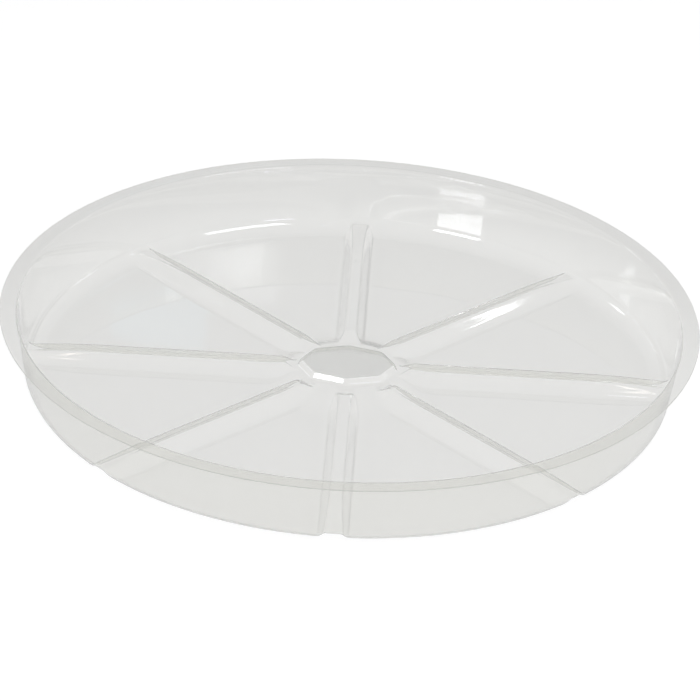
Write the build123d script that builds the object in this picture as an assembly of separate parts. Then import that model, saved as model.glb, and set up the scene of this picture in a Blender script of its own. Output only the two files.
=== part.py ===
from build123d import *
from math import atan2, cos, sin, tan, pi
import os

# A round saucer for a flower pot, drawn down from one clear plastic sheet
# The sheet runs without a joint from the rim, down the wall and over the ribbed floor
# Frame: origin on the ground at the centre, +Z up, one rib along +X and one along +Y

# The rim, the wall and the sheet
rim_diameter = 406.0
overall_height = 43.0
sheet_thickness = 1.0
flange_width = 9.6
flange_bend_radius = 2.0
base_diameter = 376.0
base_round_radius = 11.0

# The ribs that stand the pot clear of the water
rib_count = 8
rib_height = 8.0
rib_crest_width = 6.0
rib_side_run = 5.5
rib_crest_round = 1.8
rib_foot_round = 5.0
rib_outer_height = 5.0
rib_runout_length = 22.0
rib_inner_run = 6.0

# The raised hub where the ribs meet, and the eight-sided plate on it
hub_top_diameter = 64.0
hub_side_run = 10.0
hub_height = 4.2
plate_length = 55.0
plate_width = 40.0
plate_side_run = 1.6
plate_corner_count = 8
plate_edge_round = 0.6

# One overrun for every cut and trimmed end
overrun = 3.0

# Radii and levels that follow from the sizes above
rim_radius = rim_diameter / 2
wall_top_radius = rim_radius - flange_width
base_radius = base_diameter / 2
flange_underside = overall_height - sheet_thickness
wall_lean = atan2(wall_top_radius - base_radius, flange_underside)
floor_flat_radius = base_radius - base_round_radius * tan((pi / 2 - wall_lean) / 2)


def underside_path():
    """Outer side of the sheet, from the axis along the floor and wall to the trimmed rim."""
    corners = [
        (0, 0),
        (base_radius, 0),
        (wall_top_radius, flange_underside),
        (rim_radius, flange_underside),
    ]
    return FilletPolyline(*corners, radius=[base_round_radius, flange_bend_radius])


def turned(face):
    """Solid of revolution about the vertical axis from a face drawn in radius and height."""
    return revolve(Plane.XZ * face, axis=Axis.Z)


def plain_dish():
    """The sheet as a smooth dish, before its floor is ribbed."""
    section = make_face(offset(underside_path(), amount=sheet_thickness, side=Side.LEFT))
    return turned(section)


def dish_block():
    """Everything inside the outer side of the sheet, which trims the ribs to the wall."""
    wall = underside_path()
    lid = Polyline(wall @ 1, (rim_radius, overall_height), (0, overall_height), (0, 0))
    return turned(make_face([*wall.edges(), *lid.edges()]))


def rib_prism(grow):
    """One straight rib along +X, its underside for no growth, its top for one thickness."""
    foot_half = rib_crest_width / 2 + rib_side_run
    foot_reach = foot_half + rib_foot_round
    line = FilletPolyline(
        (-foot_reach, 0),
        (-foot_half, 0),
        (-rib_crest_width / 2, rib_height),
        (rib_crest_width / 2, rib_height),
        (foot_half, 0),
        (foot_reach, 0),
        radius=[rib_foot_round, rib_crest_round, rib_crest_round, rib_foot_round],
    )
    if grow:
        line = offset(line, amount=grow, side=Side.LEFT, closed=False)
    start, end = line @ 0, line @ 1
    low = -overrun
    sides = Polyline(end, (end.X, low), (start.X, low), start)
    section = Plane.YZ * make_face([*line.edges(), *sides.edges()])
    return extrude(section, amount=rim_radius, dir=(1, 0, 0))


def rib_limit(grow):
    """How high the ribs may stand at each radius: they run down to the hub and to the wall."""
    inner_radius = hub_top_diameter / 2
    crest_start = inner_radius + rib_inner_run
    crest_end = floor_flat_radius - rib_runout_length
    top = rib_height + overrun + grow
    run_slope = (rib_height - rib_outer_height) / (base_radius - crest_end)
    limit = Polyline(
        (inner_radius, -overrun - grow),
        (inner_radius, hub_height + grow),
        (crest_start, rib_height + grow),
        (crest_start, top),
        (crest_end, top),
        (crest_end, rib_height + grow),
        (rim_radius, rib_height + grow - run_slope * (rim_radius - crest_end)),
        (rim_radius, -overrun - grow),
        (inner_radius, -overrun - grow),
    )
    return turned(make_face(limit))


def hub_form(grow):
    """Low round hub in the middle of the floor, its underside or, grown, its top."""
    top_radius = hub_top_diameter / 2
    foot_radius = top_radius + hub_side_run
    line = FilletPolyline(
        (0, hub_height),
        (top_radius, hub_height),
        (foot_radius, 0),
        (foot_radius + rib_foot_round, 0),
        radius=[rib_crest_round, rib_foot_round],
    )
    if grow:
        line = offset(line, amount=grow, side=Side.LEFT, closed=False)
    start, end = line @ 0, line @ 1
    sides = Polyline(end, (end.X, -overrun), (0, -overrun), start)
    return turned(make_face([*line.edges(), *sides.edges()]))


def plate_outline(spread, level):
    """Eight-sided outline of the plate, longer across than deep, at one level."""
    across = plate_length / 2 + spread
    deep = plate_width / 2 + spread
    turns = [2 * pi * corner / plate_corner_count for corner in range(plate_corner_count)]
    return Plane.XY.offset(level) * make_face(
        Polyline(*[(across * cos(turn), deep * sin(turn)) for turn in turns], close=True)
    )


def plate_form(grow):
    """Eight-sided plate on the hub, level with the ribs, with sloping sides and a round edge."""
    side_angle = atan2(rib_height - hub_height, plate_side_run)
    top_spread = grow * tan(side_angle / 2)
    low_spread = (rib_height + overrun) / tan(side_angle) + grow / sin(side_angle)
    block = loft([plate_outline(low_spread, -overrun), plate_outline(top_spread, rib_height + grow)])
    top_edges = block.faces().sort_by(Axis.Z)[-1].edges()
    return fillet(top_edges, plate_edge_round + grow)


def floor_form(grow):
    """Hub, plate and ribs as one raised form: the underside, or the top when grown."""
    rib = rib_prism(grow) & rib_limit(grow)
    form = hub_form(grow) + plate_form(grow)
    for place in range(rib_count):
        form += Rot(0, 0, 360 * place / rib_count) * rib
    return form


def saucer_shell():
    """The whole saucer: the dish with its raised floor form, hollow from below."""
    raised = floor_form(sheet_thickness) & dish_block()
    return plain_dish() + raised - floor_form(0)


os.makedirs("parts", exist_ok=True)
shell = saucer_shell()
print("solids", len(shell.solids()), "valid", shell.is_valid, "volume", round(shell.volume))
export_step(shell, "parts/saucer_shell.step")
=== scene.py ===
from math import asin, atan2, cos, hypot, pi, radians, sin, tan

import bmesh
import bpy
from mathutils import Matrix, Vector


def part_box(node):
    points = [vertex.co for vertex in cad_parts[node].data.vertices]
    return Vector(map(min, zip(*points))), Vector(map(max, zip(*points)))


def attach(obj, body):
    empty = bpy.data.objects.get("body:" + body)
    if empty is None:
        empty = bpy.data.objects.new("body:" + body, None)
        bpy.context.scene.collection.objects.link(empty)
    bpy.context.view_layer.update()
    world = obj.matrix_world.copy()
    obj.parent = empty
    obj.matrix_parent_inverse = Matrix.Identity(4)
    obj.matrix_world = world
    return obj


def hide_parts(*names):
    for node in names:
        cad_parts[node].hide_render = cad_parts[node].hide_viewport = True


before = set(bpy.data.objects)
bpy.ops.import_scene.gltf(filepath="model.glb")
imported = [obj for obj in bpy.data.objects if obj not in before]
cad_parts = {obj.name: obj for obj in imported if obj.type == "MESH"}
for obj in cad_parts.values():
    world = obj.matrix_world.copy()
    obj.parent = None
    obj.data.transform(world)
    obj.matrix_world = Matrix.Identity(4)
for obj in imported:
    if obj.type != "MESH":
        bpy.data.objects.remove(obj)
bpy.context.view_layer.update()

# A round clear saucer for a flower pot, drawn down from one plastic sheet
# Lengths are in metres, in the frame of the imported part

MM = 0.001

# The rim, the wall and the sheet
_, shell_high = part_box("saucer_shell")
rim_radius = shell_high.x
overall_height = shell_high.z
sheet_thickness = 0.4 * MM
flange_width = 9.6 * MM
flange_bend_radius = 1.2 * MM
base_radius = 188.0 * MM
base_round_radius = 11.0 * MM
rim_edge_round = 0.12 * MM

# The ribs that stand the pot clear of the water
rib_count = 8
rib_height = 9.0 * MM - sheet_thickness
rib_crest_width = 6.0 * MM
rib_side_run = 5.5 * MM
rib_outer_height = 6.0 * MM - sheet_thickness
rib_runout_length = 22.0 * MM
rib_inner_run = 6.0 * MM
rib_crest_blend = 1.4 * MM
rib_foot_blend = 3.0 * MM
rib_wall_blend = 2.6 * MM
rib_hub_blend = 2.0 * MM

# The raised hub where the ribs meet, and the eight-sided plate on it
hub_top_radius = 32.0 * MM
hub_side_run = 10.0 * MM
hub_height = 5.2 * MM - sheet_thickness
hub_edge_blend = 2.4 * MM
plate_length = 55.0 * MM
plate_width = 40.0 * MM
plate_side_run = 1.6 * MM
plate_foot_round = 2.0 * MM
plate_edge_round = 0.6 * MM
plate_corner_sharpness = 60

# Levels and angles that follow from the sizes above
wall_top_radius = rim_radius - flange_width
flange_underside = overall_height - sheet_thickness
wall_lean = atan2(wall_top_radius - base_radius, flange_underside)
base_turn = pi / 2 - wall_lean
floor_flat_radius = base_radius - base_round_radius * tan(base_turn / 2)
half_sector = pi / rib_count
plate_slope = atan2(rib_height - hub_height, plate_side_run)
plate_foot_cut = plate_foot_round * tan(plate_slope / 2)
plate_edge_cut = plate_edge_round * tan(plate_slope / 2)


# Small helpers

def linear(hex_colour, alpha=1.0):
    """sRGB hex to the linear colour that Blender's sockets take."""
    channels = [int(hex_colour[i:i + 2], 16) / 255 for i in (1, 3, 5)]
    return (*[c / 12.92 if c <= 0.04045 else ((c + 0.055) / 1.055) ** 2.4 for c in channels], alpha)


def add_node(tree, kind, settings=(), inputs=()):
    """Adds a node. An input is a value, or the output socket that feeds it."""
    node = tree.nodes.new(kind)
    for name, value in dict(settings).items():
        setattr(node, name, value)
    for name, value in dict(inputs).items():
        if isinstance(value, bpy.types.NodeSocket):
            tree.links.new(value, node.inputs[name])
        else:
            node.inputs[name].default_value = value
    return node


def empty_material(name):
    """A new material with no nodes in it yet, and its node tree."""
    material = bpy.data.materials.new(name)
    material.use_nodes = True
    material.node_tree.nodes.clear()
    return material, material.node_tree


def even_steps(start, end, count):
    """count values that end at end, without start."""
    return [start + (end - start) * (step + 1) / count for step in range(count)]


def softer_low(a, b, blend):
    """The lower of two levels, rounded where they cross."""
    near = max(0.0, blend - abs(a - b))
    return min(a, b) - near * near / (4 * blend)


def softer_high(a, b, blend):
    """The higher of two levels, rounded where they cross."""
    near = max(0.0, blend - abs(a - b))
    return max(a, b) + near * near / (4 * blend)


def select_where(obj, test):
    """Selects the vertices that pass a test of their place, and nothing else."""
    bpy.ops.mesh.select_all(action="DESELECT")
    mesh = bmesh.from_edit_mesh(obj.data)
    for vert in mesh.verts:
        if test(vert.co):
            vert.select = True
    mesh.select_flush(True)
    bmesh.update_edit_mesh(obj.data)


# The camera stands at the photo's viewing angle

photo_side = 700
photo_focal = 3518.6
photo_middle = Vector((347.0, 375.1))
camera_rise = radians(29.1265)
camera_turn = radians(1.0)
camera_roll = radians(2.9387)
camera_distance = 10.1735 * rim_radius
camera_sight = 50
sensor_side = 36.0


def place_camera():
    """A long lens that looks down at the middle of the saucer, rolled a little as the photo is."""
    level = Vector((cos(camera_turn), sin(camera_turn), 0))
    back = Vector((
        sin(camera_turn) * cos(camera_rise),
        -cos(camera_turn) * cos(camera_rise),
        sin(camera_rise),
    ))
    upward = level.cross(-back)
    across = cos(camera_roll) * level + sin(camera_roll) * upward
    over = cos(camera_roll) * upward - sin(camera_roll) * level
    metres_per_pixel = camera_distance / photo_focal
    off_middle = (Vector((photo_side / 2, photo_side / 2)) - photo_middle) * metres_per_pixel
    target = across * off_middle.x - over * off_middle.y
    place = back * camera_distance
    ahead = (target - place).normalized()
    across = (across - ahead * across.dot(ahead)).normalized()
    over = across.cross(ahead)
    bpy.ops.object.camera_add(location=place)
    camera = bpy.context.object
    camera.name = "camera"
    camera.rotation_mode = "QUATERNION"
    camera.rotation_quaternion = Matrix((across, over, -ahead)).transposed().to_quaternion()
    camera.data.sensor_width = sensor_side
    camera.data.lens = photo_focal * sensor_side / photo_side
    camera.data.clip_end = camera_sight
    bpy.context.scene.camera = camera


# The sheet, drawn down over its mould

# One half of a sector: how far each row of the mesh lies from the rib's middle line, in millimetres
crest_rows = [0.0, 0.8, 1.5, 2.0, 2.4, 2.8, 3.2, 3.6, 4.0]
side_rows = [4.7, 5.5, 6.3]
foot_rows = [6.9, 7.5, 8.1, 8.7, 9.4, 10.2, 11.0]
rib_rows = [row * MM for row in crest_rows + side_rows + foot_rows]
open_row_count = 9

# Rings of the floor, from just inside the hub's edge to the rounded foot of the wall
fan_radius = 34.0 * MM
inner_ring = hub_top_radius - 1.5 * MM
inner_run_end = hub_top_radius + rib_inner_run + 3.0 * MM
crest_end = floor_flat_radius - rib_runout_length
runout_lead = 4.0 * MM
hub_side_rings = 12
crest_rings = 18
runout_rings = 9
foot_rings = 17

# Rings above the floor: the ribs reach up the rounded foot as far as the formed turn
formed_turn = radians(76)
upper_foot_rings = 2
wall_ring_count = 9
bend_rings = 6
flange_rings = 4

# Rings of the plate: its foot, its edge, and its flat top as shares of the way out from the middle
plate_foot_rings = 8
plate_edge_rings = 5
plate_top_shares = (0.95, 0.85, 0.7, 0.5, 0.3, 0.12)

# How far apart two vertices of a seam may lie to be joined, and how near a ring its vertices are picked
mirror_reach = 0.01 * MM
seam_reach = 0.02 * MM
ring_reach = 0.01 * MM


def round_point(turn):
    """A point on the rounded foot of the wall, from turn 0 on the floor."""
    return floor_flat_radius + base_round_radius * sin(turn), base_round_radius * (1 - cos(turn))


def floor_rings():
    """(radius, level) of the plain floor at each ring of the sector."""
    runout_start = crest_end - runout_lead
    radii = [inner_ring]
    radii += even_steps(inner_ring, inner_run_end, hub_side_rings)
    radii += even_steps(inner_run_end, runout_start, crest_rings)
    radii += even_steps(runout_start, floor_flat_radius, runout_rings)
    rings = [(radius, 0.0) for radius in radii]
    return rings + [round_point(turn) for turn in even_steps(0.0, formed_turn, foot_rings)]


def mould_level(x, y, plain_level):
    """Height of the sheet's underside over a point beside the rib that lies along +X."""
    radius = hypot(x, y)
    inner_limit = hub_height + (radius - hub_top_radius) * (rib_height - hub_height) / rib_inner_run
    outer_slope = (rib_height - rib_outer_height) / (base_radius - crest_end)
    outer_limit = rib_height - (radius - crest_end) * outer_slope
    crest = softer_low(rib_height, inner_limit, rib_crest_blend)
    crest = softer_low(crest, outer_limit, rib_crest_blend)
    side = (rib_crest_width / 2 + rib_side_run - abs(y)) * rib_height / rib_side_run
    rib = softer_low(crest, side, rib_crest_blend)
    hub_side = (hub_top_radius + hub_side_run - radius) * hub_height / hub_side_run
    hub = softer_low(hub_height, hub_side, hub_edge_blend)
    outward = min(1.0, max(0.0, (radius - hub_top_radius) / rib_inner_run))
    raised = softer_high(rib, hub, rib_hub_blend + (rib_foot_blend - rib_hub_blend) * outward)
    foot = rib_foot_blend if plain_level == 0.0 else rib_wall_blend
    return softer_high(raised, plain_level, foot)


def sector_point(radius, plain_level, row):
    """Place of one row of the half sector on one ring. Inside the fan radius the rows close up."""
    narrow = min(1.0, radius / fan_radius)
    if row < len(rib_rows):
        turn = asin(rib_rows[row] * narrow / radius)
    else:
        last = asin(rib_rows[-1] * narrow / radius)
        turn = last + (half_sector - last) * (row - len(rib_rows) + 1) / open_row_count
    x, y = radius * cos(turn), radius * sin(turn)
    return Vector((x, y, mould_level(x, y, plain_level)))


def draw_sector():
    """A flat grid, laid out as half a sector of the floor and drawn down over the mould."""
    rings = floor_rings()
    rows = len(rib_rows) + open_row_count
    bpy.ops.mesh.primitive_grid_add(x_subdivisions=len(rings) - 1, y_subdivisions=rows - 1, size=1)
    sector = bpy.context.object
    for vert in sector.data.vertices:
        ring = round((vert.co.x + 0.5) * (len(rings) - 1))
        row = round((vert.co.y + 0.5) * (rows - 1))
        vert.co = sector_point(*rings[ring], row)
    mirror = sector.modifiers.new("other_half", "MIRROR")
    mirror.use_axis = (False, True, False)
    mirror.merge_threshold = mirror_reach
    bpy.ops.object.modifier_apply(modifier=mirror.name)
    return sector


def repeat_sector():
    """The eight sectors, joined into one floor."""
    bpy.ops.object.mode_set(mode="EDIT")
    bpy.ops.mesh.select_all(action="SELECT")
    for _ in range(rib_count - 1):
        bpy.ops.mesh.duplicate()
        bpy.ops.transform.rotate(value=2 * half_sector, orient_axis="Z", center_override=(0, 0, 0))
    bpy.ops.mesh.select_all(action="SELECT")
    bpy.ops.mesh.remove_doubles(threshold=seam_reach)


def wall_rings():
    """(radius, level) of each ring above the formed sector: the round, the wall and the flange."""
    rings = [round_point(turn) for turn in even_steps(formed_turn, base_turn, upper_foot_rings)]
    bend_cut = flange_bend_radius * tan(base_turn / 2)
    bend_radius, bend_level = wall_top_radius + bend_cut, flange_underside - flange_bend_radius
    wall_start = rings[-1]
    wall_end = (wall_top_radius - bend_cut * sin(wall_lean), flange_underside - bend_cut * cos(wall_lean))
    for share in even_steps(0.0, 1.0, wall_ring_count):
        rings.append(tuple(low + (high - low) * share for low, high in zip(wall_start, wall_end)))
    for turn in even_steps(base_turn, 0.0, bend_rings):
        rings.append((
            bend_radius - flange_bend_radius * sin(turn),
            bend_level + flange_bend_radius * cos(turn),
        ))
    flange_radii = even_steps(bend_radius, rim_radius - 3 * rim_edge_round, flange_rings) + [rim_radius]
    return rings + [(radius, flange_underside) for radius in flange_radii]


def raise_wall(shell):
    """The wall and the flange, extruded ring by ring from the edge of the floor."""
    radius, level = round_point(formed_turn)
    select_where(shell, lambda co: hypot(co.x, co.y) > radius - ring_reach)
    for next_radius, next_level in wall_rings():
        growth = next_radius / radius
        bpy.ops.mesh.extrude_region_move()
        bpy.ops.transform.resize(value=(growth, growth, 1), center_override=(0, 0, 0))
        bpy.ops.transform.translate(value=(0, 0, next_level - level))
        radius, level = next_radius, next_level


def octagon_share(turn):
    """Radius of a unit octagon with a corner at turn 0, its corners a little rounded."""
    sides = [cos(turn - (2 * side + 1) * half_sector) / cos(half_sector) for side in range(rib_count)]
    total = sum(max(0.0, side) ** plate_corner_sharpness for side in sides)
    return total ** (-1 / plate_corner_sharpness)


def arc_steps(middle, radius, start, end, count):
    """Points of an arc in the plate's section, from one slope to the other."""
    return [
        (middle[0] + radius * sin(turn), middle[1] - radius * cos(turn))
        for turn in [start + (end - start) * step / count for step in range(count + 1)]
    ]


def plate_steps():
    """(spread, level, share) of each outline, from the hub's flat over the plate's edge to its middle."""
    foot_middle = (plate_side_run + plate_foot_cut, hub_height + plate_foot_round)
    edge_middle = (-plate_edge_cut, rib_height - plate_edge_round)
    foot = arc_steps(foot_middle, plate_foot_round, 0.0, -plate_slope, plate_foot_rings)
    edge = arc_steps(edge_middle, -plate_edge_round, -plate_slope, 0.0, plate_edge_rings)
    steps = [(spread, level, 1.0) for spread, level in foot + edge]
    return steps + [(steps[-1][0], rib_height, share) for share in plate_top_shares]


def raise_plate(shell):
    """The hub's top and the plate, extruded inwards from the inner edge of the floor."""
    select_where(shell, lambda co: hypot(co.x, co.y) < inner_ring + ring_reach)
    across = deep = inner_ring
    for spread, level, share in plate_steps():
        bpy.ops.mesh.extrude_region_move()
        mesh = bmesh.from_edit_mesh(shell.data)
        next_across = (plate_length / 2 + spread) * share
        next_deep = (plate_width / 2 + spread) * share
        for vert in mesh.verts:
            if vert.select:
                turn = atan2(vert.co.y / deep, vert.co.x / across)
                reach = octagon_share(turn)
                vert.co = Vector((next_across * reach * cos(turn), next_deep * reach * sin(turn), level))
        bmesh.update_edit_mesh(shell.data)
        across, deep = next_across, next_deep
    bpy.ops.mesh.merge(type="CENTER")


def form_sheet():
    """The underside of the whole saucer, as one open sheet from the trimmed rim to the plate."""
    bpy.ops.object.select_all(action="DESELECT")
    shell = draw_sector()
    shell.name = "saucer"
    repeat_sector()
    raise_wall(shell)
    raise_plate(shell)
    bpy.ops.mesh.select_all(action="SELECT")
    bpy.ops.mesh.normals_make_consistent(inside=False)
    bpy.ops.object.mode_set(mode="OBJECT")
    return shell


# The waviness of the cooled sheet, which fades out below the bend of the flange
ripple_pitch = 45.0 * MM
ripple_height = 0.15 * MM
ripple_fade = 6.0 * MM

# The rounding of the trimmed edge, on corners sharper than this
edge_angle = radians(60)
edge_segments = 2


def ripple(shell):
    """Waves the sheet a little. It is only ever raised, so that the saucer stands on the ground."""
    free = shell.vertex_groups.new(name="floor_and_wall")
    for vert in shell.data.vertices:
        below_flange = (flange_underside - flange_bend_radius - vert.co.z) / ripple_fade
        if below_flange > 0:
            free.add([vert.index], min(1.0, below_flange), "REPLACE")
    swell = bpy.data.textures.new("swell", "CLOUDS")
    swell.noise_scale = ripple_pitch
    swell.noise_depth = 1
    wave = shell.modifiers.new("ripple", "DISPLACE")
    wave.texture = swell
    wave.texture_coords = "LOCAL"
    wave.direction = "NORMAL"
    wave.mid_level = 1.0
    wave.strength = -ripple_height
    wave.vertex_group = free.name
    bpy.ops.object.modifier_apply(modifier=wave.name)


def thicken(shell):
    """Gives the drawn sheet its thickness, upwards from the underside, and rounds the cut edge."""
    wall = shell.modifiers.new("sheet", "SOLIDIFY")
    wall.thickness = sheet_thickness
    wall.offset = 1.0
    wall.use_even_offset = True
    wall.material_offset_rim = 1
    bpy.ops.object.modifier_apply(modifier=wall.name)
    edge = shell.modifiers.new("edge", "BEVEL")
    edge.width = rim_edge_round
    edge.segments = edge_segments
    edge.angle_limit = edge_angle
    edge.harden_normals = False
    bpy.ops.object.modifier_apply(modifier=edge.name)


def frost_plate(shell):
    """Gives the plate's top, where the mould is matt, its own material. The underside stays clear."""
    stretch = plate_length / plate_width
    for face in shell.data.polygons:
        middle = face.center
        turn = atan2(middle.y * stretch, middle.x)
        reach = (plate_length / 2 - plate_edge_cut) * octagon_share(turn)
        inside = hypot(middle.x, middle.y * stretch) < reach
        if inside and middle.z > rib_height + sheet_thickness / 2:
            face.material_index = 2


# The plastic: rigid vinyl sheet, heated and drawn down over a polished mould by vacuum

vinyl_ior = 1.54
vinyl_shade = "#fafafa"
haze_pitch = 18.0 * MM
haze_detail = 3.0
haze_low, haze_high = 0.6, 1.4
peel_pitch = 4.0 * MM
peel_height = 0.01 * MM
peel_detail = 2.0
bounces_inside = 1.5


def see_through(name, colour, roughness, relief, clear=1.0):
    """Vinyl that refracts what the camera sees through it, with a fine relief and a varying haze.

    Lamps and diffuse light pass straight through it, a little dimmed. So does a ray that has been
    reflected more than once, because the tight bends of a clear sheet would trap it and turn black.
    """
    material, tree = empty_material(name)
    place = add_node(tree, "ShaderNodeTexCoord").outputs["Object"]
    haze = add_node(tree, "ShaderNodeTexNoise", inputs={
        "Vector": place, "Scale": 1 / haze_pitch, "Detail": haze_detail})
    rough = add_node(tree, "ShaderNodeMapRange", inputs={
        "Value": haze.outputs["Fac"], "To Min": roughness * haze_low, "To Max": roughness * haze_high})
    peel = add_node(tree, "ShaderNodeTexNoise", inputs={
        "Vector": place, "Scale": 1 / peel_pitch, "Detail": peel_detail})
    bump = add_node(tree, "ShaderNodeBump", inputs={
        "Strength": relief, "Distance": peel_height, "Height": peel.outputs["Fac"]})
    plastic = add_node(tree, "ShaderNodeBsdfPrincipled", inputs={
        "Base Color": linear(colour),
        "Roughness": rough.outputs["Result"],
        "IOR": vinyl_ior,
        "Transmission Weight": clear,
        "Normal": bump.outputs["Normal"],
    })
    through = add_node(tree, "ShaderNodeBsdfTransparent", inputs={"Color": linear(vinyl_shade)})
    path = add_node(tree, "ShaderNodeLightPath")
    passing = add_node(tree, "ShaderNodeMath", {"operation": "MAXIMUM"}, {
        0: path.outputs["Is Shadow Ray"], 1: path.outputs["Is Diffuse Ray"]})
    trapped = add_node(tree, "ShaderNodeMath", {"operation": "GREATER_THAN"}, {
        0: path.outputs["Glossy Depth"], 1: bounces_inside})
    straight = add_node(tree, "ShaderNodeMath", {"operation": "MAXIMUM"}, {
        0: passing.outputs[0], 1: trapped.outputs[0]})
    mix = add_node(tree, "ShaderNodeMixShader", inputs={
        0: straight.outputs[0],
        1: plastic.outputs["BSDF"],
        2: through.outputs["BSDF"],
    })
    add_node(tree, "ShaderNodeOutputMaterial", inputs={"Surface": mix.outputs["Shader"]})
    return material


def vinyl_materials():
    """The three finishes of the sheet, in the order of the mesh's material numbers."""
    return (
        # Drawn over a polished mould: clear and glossy, with sharp highlights and a trace of relief
        see_through("clear_vinyl_sheet", "#fdfdfb", 0.04, 0.2),
        # Trimmed: the bare cut edge scatters light and shows as a pale grey-green line
        see_through("clear_vinyl_cut_edge", "#dfe1da", 0.5, 0.3, 0.1),
        # Drawn over a matt patch of the mould: frosted, and a little darker than the clear sheet
        see_through("clear_vinyl_matt_face", "#e2e3e0", 0.22, 1.0),
    )


# The studio

floor_side = 24.0
floor_drop = 0.3 * MM
paper_white = "#e7e7e7"
glow_for_camera = 0.40
# Painted light: for rays off or through the plastic, the paper glows more under the saucer than beyond it
glow_under_saucer = 0.11
glow_beyond_saucer = 0.06
glow_fade = 60.0 * MM


def white_floor():
    """Matt paper that keeps the shadow. It glows, so that the camera sees it as white.

    Rays that come off the plastic, or through it, see a weaker glow, strongest under the saucer: a
    painted pool of light that fades beyond the saucer's foot.
    """
    bpy.ops.mesh.primitive_plane_add(size=floor_side, location=(0, 0, -floor_drop))
    floor = bpy.context.object
    floor.name = "floor"
    material, tree = empty_material("white_studio_floor")
    paper = add_node(tree, "ShaderNodeBsdfDiffuse", inputs={"Color": linear(paper_white)})
    place = add_node(tree, "ShaderNodeTexCoord").outputs["Object"]
    apart = add_node(tree, "ShaderNodeVectorMath", {"operation": "LENGTH"}, {0: place})
    # Painted light: a brighter glow on the paper under the saucer, fading to a dimmer one beyond its foot
    painted_glow_pool = add_node(tree, "ShaderNodeMapRange", {"interpolation_type": "SMOOTHSTEP"}, {
        "Value": apart.outputs["Value"],
        "From Min": base_radius,
        "From Max": base_radius + glow_fade,
        "To Min": glow_under_saucer,
        "To Max": glow_beyond_saucer,
    })
    path = add_node(tree, "ShaderNodeLightPath")
    by_plastic = add_node(tree, "ShaderNodeMath", {"operation": "ADD"}, {
        0: path.outputs["Is Glossy Ray"], 1: path.outputs["Is Transmission Ray"]})
    weaker = add_node(tree, "ShaderNodeMath", {"operation": "MULTIPLY"}, {
        0: by_plastic.outputs[0], 1: painted_glow_pool.outputs["Result"]})
    lift = add_node(tree, "ShaderNodeMath", {"operation": "MULTIPLY_ADD"}, {
        0: path.outputs["Is Camera Ray"], 1: glow_for_camera, 2: weaker.outputs[0]})
    glow = add_node(tree, "ShaderNodeEmission", inputs={"Strength": lift.outputs[0]})
    both = add_node(tree, "ShaderNodeAddShader", inputs={0: paper.outputs[0], 1: glow.outputs[0]})
    add_node(tree, "ShaderNodeOutputMaterial", inputs={"Surface": both.outputs["Shader"]})
    floor.data.materials.append(material)


# (height of the view, from level to straight up, and how light the room is there)
room_levels = ((0.0, 0.5), (0.25, 0.58), (0.45, 0.52), (0.6, 0.5), (1.0, 0.35))


def studio_world():
    """Even grey light, a little paler above the horizon and darker overhead."""
    world = bpy.data.worlds.new("studio")
    world.use_nodes = True
    tree = world.node_tree
    background = tree.nodes["Background"]
    heading = add_node(tree, "ShaderNodeTexCoord").outputs["Generated"]
    parts = add_node(tree, "ShaderNodeSeparateXYZ", inputs={"Vector": heading})
    ramp = add_node(tree, "ShaderNodeValToRGB", inputs={"Fac": parts.outputs["Z"]})
    stops = ramp.color_ramp.elements
    while len(stops) < len(room_levels):
        stops.new(1.0)
    for stop, (height, level) in zip(stops, room_levels):
        stop.position = height
        stop.color = (level, level, level, 1)
    tree.links.new(ramp.outputs["Color"], background.inputs["Color"])
    background.inputs["Strength"].default_value = 1.0
    bpy.context.scene.world = world


softbox_place = (0.3, -0.4, 2.2)
softbox_size = 1.6
softbox_watts = 22.0


def softbox_overhead():
    """The lamp that lights the paper. Gloss and clear pieces don't see it."""
    bpy.ops.object.light_add(type="AREA", location=softbox_place)
    softbox = bpy.context.object
    softbox.name = "softbox"
    softbox.data.size = softbox_size
    softbox.data.energy = softbox_watts
    softbox.rotation_mode = "QUATERNION"
    softbox.rotation_quaternion = softbox.location.to_track_quat("Z", "Y")
    softbox.visible_glossy = False
    softbox.visible_transmission = False


card_distance = 2.0

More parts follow.
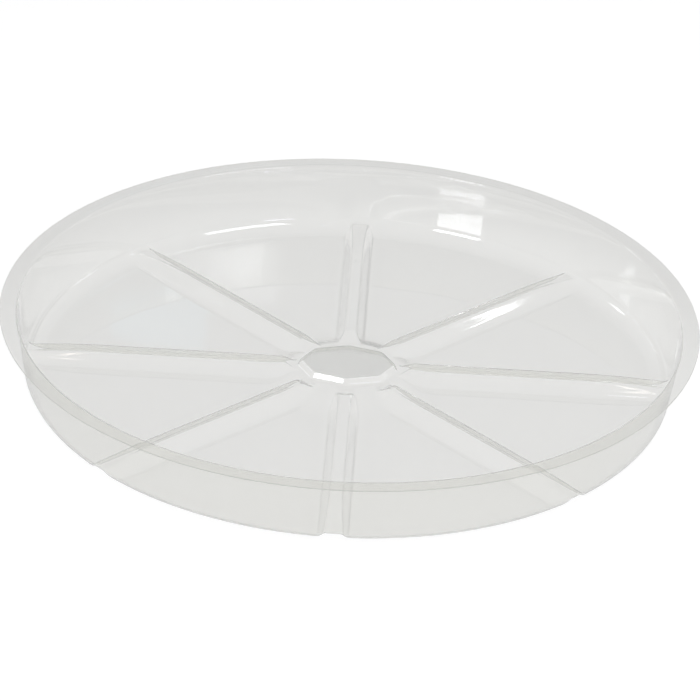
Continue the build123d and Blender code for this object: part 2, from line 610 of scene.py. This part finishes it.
# Name, bearing, rise, height and width in degrees as seen from the saucer, colour and strength
cards = (
    ("window_low", 218, 13.6, 3.6, 17, "#fbfdff", 10.0),
    ("window_high", 218, 20.0, 8.2, 18, "#fbfdff", 16.0),
    ("strip_right_low", 151, 6.2, 2.5, 10.6, "#f0ecff", 7.0),
    ("strip_right_high", 134, 37.5, 15.0, 34, "#fbfdff", 5.0),
    ("strip_right_side", 68, 8.0, 2.0, 14, "#fbfdff", 6.0),
    ("strip_left_side", 296, 23.0, 9.0, 7, "#fbfdff", 4.0),
    ("spot_right", 89.0, 20.9, 3.0, 1.0, "#fbfdff", 12.0),
    ("spot_front", 162.6, 59.9, 3.0, 3.0, "#fbfdff", 7.0),
    ("spot_front_right", 169.2, 37.0, 1.6, 1.0, "#fff6ee", 6.0),
    ("spot_front_left", 192.6, 36.9, 1.6, 1.0, "#fff0e6", 6.0),
    ("pane_back", 355.4, 25.9, 1.8, 1.9, "#ffffff", 0.8),
    ("pane_back_blue", 351.9, 27.5, 1.4, 3.35, "#c8d6de", 1.0),
    ("shelf_back_left", 330, 3.8, 6.5, 50, "#ffffff", 0.35),
    ("shelf_back_right", 28, 3.8, 7.5, 60, "#ffffff", 0.03),
)


def towards(bearing, rise, distance):
    """A point seen from the saucer at a bearing, clockwise from +Y, and a rise above the horizon."""
    flat = distance * cos(rise)
    return Vector((flat * sin(bearing), flat * cos(bearing), distance * sin(rise)))


def hang_card(name, bearing, rise, tall, wide, colour, strength):
    """A lit card that gloss and clear pieces see, square to the line from the saucer."""
    half_width = card_distance * cos(radians(rise)) * tan(radians(wide) / 2)
    bpy.ops.mesh.primitive_plane_add(size=1)
    panel = bpy.context.object
    panel.name = name
    panel.scale = (2 * half_width, card_distance * radians(tall), 1)
    panel.location = towards(radians(bearing), radians(rise), card_distance)
    panel.rotation_mode = "QUATERNION"
    panel.rotation_quaternion = panel.location.to_track_quat("Z", "Y")
    material, tree = empty_material(name)
    glow = add_node(tree, "ShaderNodeEmission", inputs={"Color": linear(colour), "Strength": strength})
    add_node(tree, "ShaderNodeOutputMaterial", inputs={"Surface": glow.outputs["Emission"]})
    panel.data.materials.append(material)
    panel.visible_camera = False
    panel.visible_diffuse = False
    panel.visible_shadow = False


place_camera()
saucer = form_sheet()
for finish in vinyl_materials():
    saucer.data.materials.append(finish)
ripple(saucer)
thicken(saucer)
frost_plate(saucer)
bpy.ops.object.shade_smooth()
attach(saucer, "root")
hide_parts("saucer_shell")
white_floor()
studio_world()
softbox_overhead()
for card in cards:
    hang_card(*card)
bpy.context.scene.view_settings.view_transform = "Standard"
